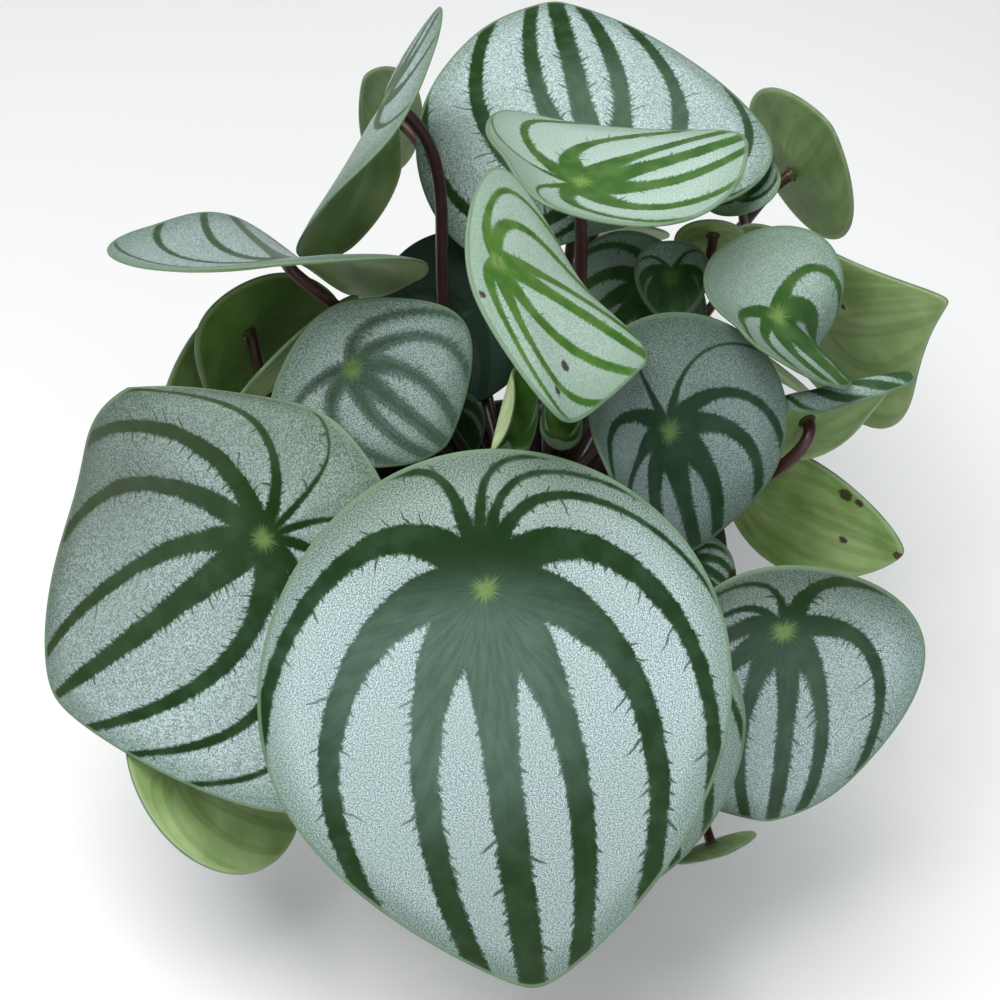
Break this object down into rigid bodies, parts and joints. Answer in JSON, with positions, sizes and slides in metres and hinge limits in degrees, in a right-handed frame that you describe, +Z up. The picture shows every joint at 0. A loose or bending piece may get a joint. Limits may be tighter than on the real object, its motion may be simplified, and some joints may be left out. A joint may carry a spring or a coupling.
{
  "type": "potted peperomia",
  "caption": "House plant with broad, fleshy, pointed oval leaves, silver with dark green bands, on red stalks from a short crown, growing in a plain round pot.",
  "frame": {"origin": "centre of the pot's flat foot, on the surface it stands on", "axes": "+Z up along the pot's axis; -Y is the front, where the largest leaf hangs over the rim; +X is to its right"},
  "size_m": [0.1974, 0.2417, 0.1971],
  "materials": {
    "pot": "plain moulded plastic, satin",
    "soil": "moist potting mix, matt and crumbly",
    "stalk": "fleshy dark red stalk, satin",
    "leaf": "fleshy leaf, silver with dark green bands along the veins, waxy sheen; pale green beneath"
  },
  "bodies": {
    "root": {"pot": "pot", "soil": "soil", "crown_and_stalks": "stalk", "leaf_front": "leaf", "leaf_left_front": "leaf", "leaf_right_front": "leaf", "leaf_centre_right": "leaf", "leaf_top_back": "leaf", "leaf_top_fold": "leaf", "leaf_centre": "leaf", "leaf_mid_left": "leaf", "leaf_right_cup": "leaf", "leaf_small_dark": "leaf", "leaf_striped": "leaf", "leaf_back_right": "leaf", "leaf_right_long": "leaf", "leaf_right_mid": "leaf", "leaf_right_low": "leaf", "leaf_under_front": "leaf", "leaf_brown_tip": "leaf", "leaf_left_low": "leaf", "leaf_low_right": "leaf", "leaf_upper_left": "leaf", "leaf_upper_left_rear": "leaf", "leaf_left_flat": "leaf", "leaf_left_under": "leaf", "leaf_left_rear": "leaf", "leaf_left_inner": "leaf", "leaf_between": "leaf", "leaf_pale_dome": "leaf", "leaf_silver_back": "leaf", "leaf_bud": "leaf", "leaf_bud_small": "leaf", "leaf_back_low": "leaf", "leaf_back_low_left": "leaf", "leaf_back_low_right": "leaf"}
  },
  "joints": []
}
